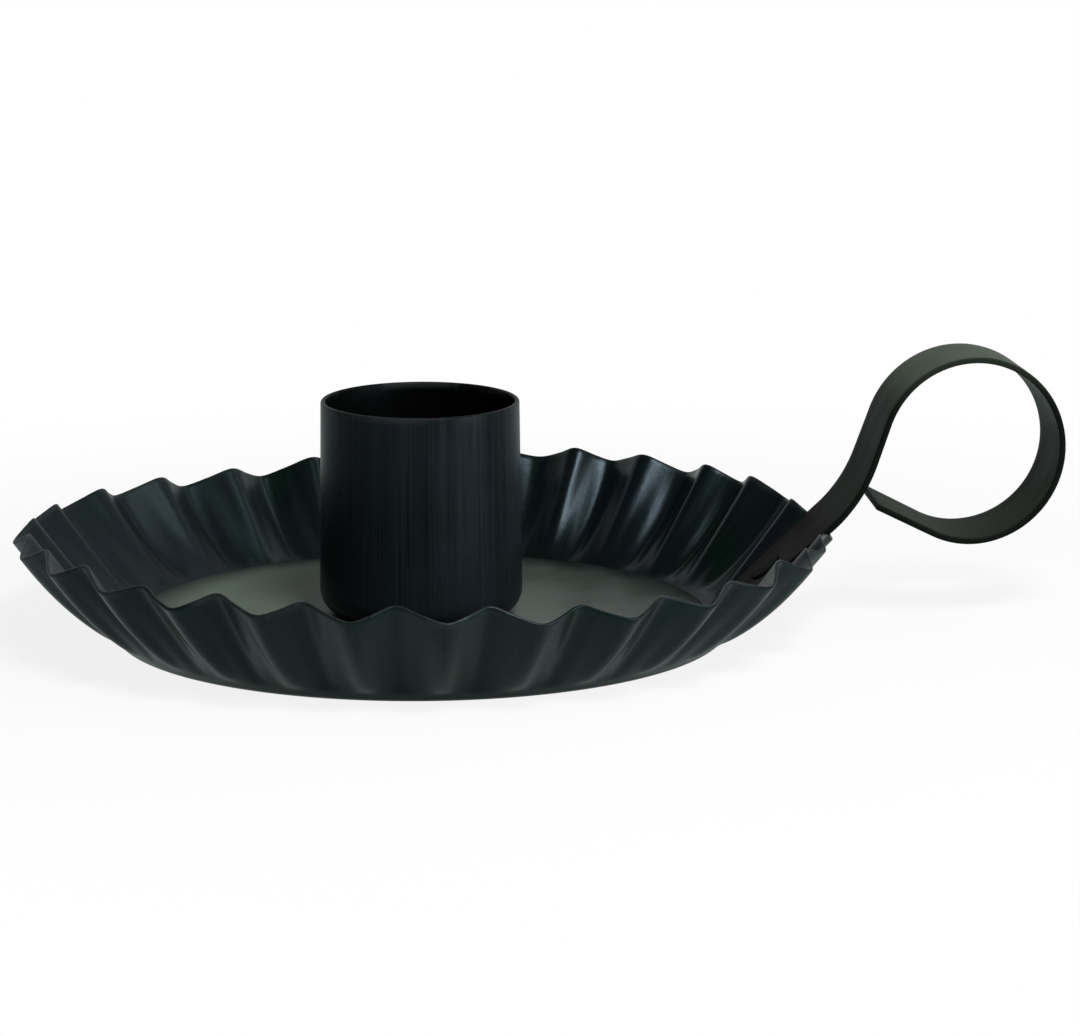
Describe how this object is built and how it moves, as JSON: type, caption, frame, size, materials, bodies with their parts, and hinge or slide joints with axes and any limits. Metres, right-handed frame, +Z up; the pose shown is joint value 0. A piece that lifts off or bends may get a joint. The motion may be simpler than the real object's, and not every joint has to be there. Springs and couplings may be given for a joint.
{
  "type": "taper candle holder",
  "caption": "Black-painted sheet-metal chamberstick: a fluted round pan, a plain drawn cup for a taper candle, and a strap handle curled into a finger loop.",
  "frame": {"origin": "on the table, under the middle of the object's whole length and width; the candle's axis stands 15.24 mm from it towards -X", "axes": "+X along the handle, away from the candle; +Y across the object, to the left of someone looking along +X; +Z up"},
  "size_m": [0.133, 0.103, 0.0346],
  "materials": {
    "dish_enamel": "satin black paint on fluted tinplate",
    "cup_enamel": "satin black paint on a drawn cup",
    "strap_enamel": "satin black paint on bent strip, a little worn",
    "rivet_enamel": "satin black paint over flat rivet heads"
  },
  "bodies": {
    "root": {"fluted_dish": "dish_enamel", "candle_cup": "cup_enamel", "handle_strap": "strap_enamel", "cup_rivet": "rivet_enamel", "handle_rivet": "rivet_enamel"}
  },
  "joints": []
}
